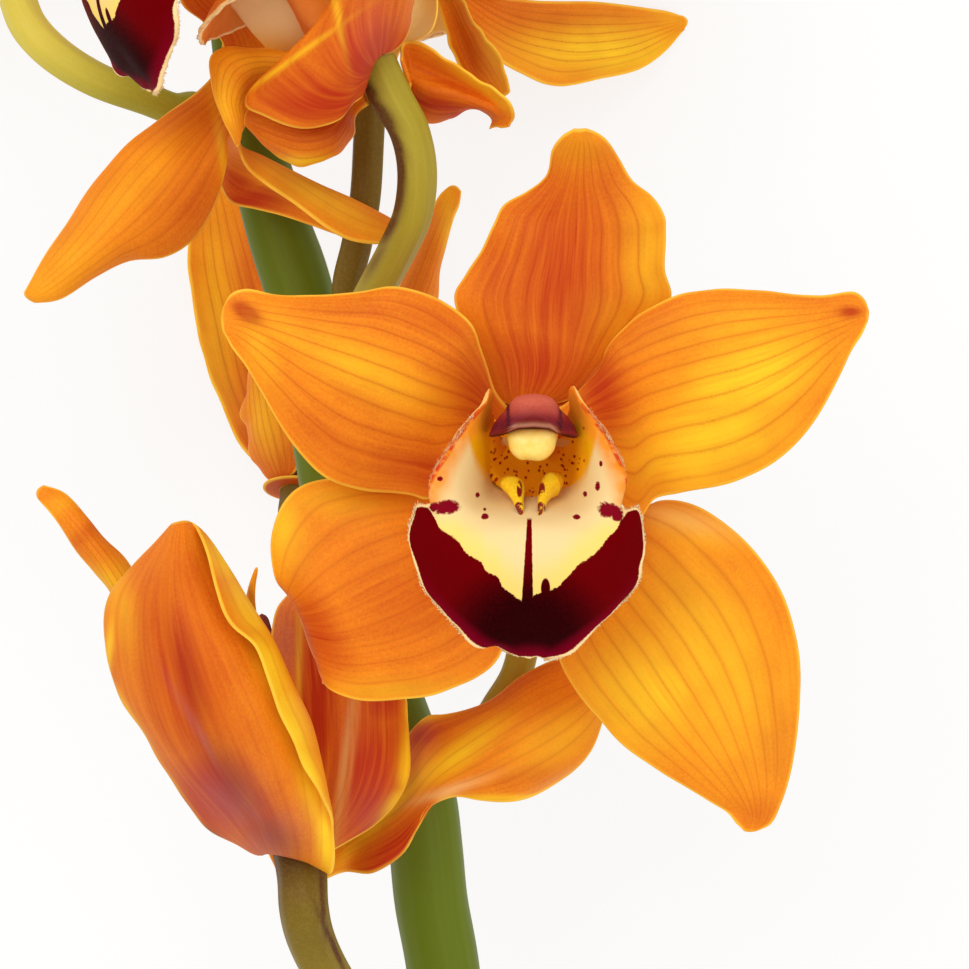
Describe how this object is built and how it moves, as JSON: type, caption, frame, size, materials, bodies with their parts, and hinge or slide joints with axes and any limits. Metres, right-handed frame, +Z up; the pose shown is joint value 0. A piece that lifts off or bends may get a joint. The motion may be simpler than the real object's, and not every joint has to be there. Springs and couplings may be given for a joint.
{
  "type": "cut orchid spray",
  "caption": "Cut cymbidium orchid spray lying down: an arching green stem with open orange blooms on slanted pedicels, and buds near its tip.",
  "frame": {"origin": "on the surface, under the middle of the spray's box", "axes": "+Z up from the surface that the spray lies on, +Y along the stem from its cut end towards its tip, and the main bloom faces +Z"},
  "size_m": [0.1808, 0.3746, 0.1386],
  "materials": {
    "tepal": "waxy, orange with red veins",
    "lip": "velvety, cream with maroon markings",
    "column": "waxy, dusty red",
    "stem": "smooth green skin",
    "pedicel": "grooved olive skin",
    "bud": "waxy, yellow green"
  },
  "bodies": {
    "root": {"stem": "stem", "main_dorsal_sepal": "tepal", "main_sepal_left": "tepal", "main_sepal_right": "tepal", "main_petal_left": "tepal", "main_petal_right": "tepal", "main_lip": "lip", "main_column": "column", "main_pedicel": "pedicel", "lower_left_dorsal_sepal": "tepal", "lower_left_sepal_left": "tepal", "lower_left_sepal_right": "tepal", "lower_left_petal_left": "tepal", "lower_left_petal_right": "tepal", "lower_left_lip": "lip", "lower_left_column": "column", "lower_left_pedicel": "pedicel", "upper_dorsal_sepal": "tepal", "upper_sepal_left": "tepal", "upper_sepal_right": "tepal", "upper_petal_left": "tepal", "upper_petal_right": "tepal", "upper_lip": "lip", "upper_column": "column", "upper_pedicel": "pedicel", "back_dorsal_sepal": "tepal", "back_sepal_left": "tepal", "back_sepal_right": "tepal", "back_petal_left": "tepal", "back_petal_right": "tepal", "back_lip": "lip", "back_column": "column", "back_pedicel": "pedicel", "top_right_dorsal_sepal": "tepal", "top_right_sepal_left": "tepal", "top_right_sepal_right": "tepal", "top_right_petal_left": "tepal", "top_right_petal_right": "tepal", "top_right_lip": "lip", "top_right_column": "column", "top_right_pedicel": "pedicel", "top_left_dorsal_sepal": "tepal", "top_left_sepal_left": "tepal", "top_left_sepal_right": "tepal", "top_left_petal_left": "tepal", "top_left_petal_right": "tepal", "top_left_lip": "lip", "top_left_column": "column", "top_left_pedicel": "pedicel", "top_dorsal_sepal": "tepal", "top_sepal_left": "tepal", "top_sepal_right": "tepal", "top_petal_left": "tepal", "top_petal_right": "tepal", "top_lip": "lip", "top_column": "column", "top_pedicel": "pedicel", "bud_side": "bud", "bud_end": "bud"}
  },
  "joints": []
}
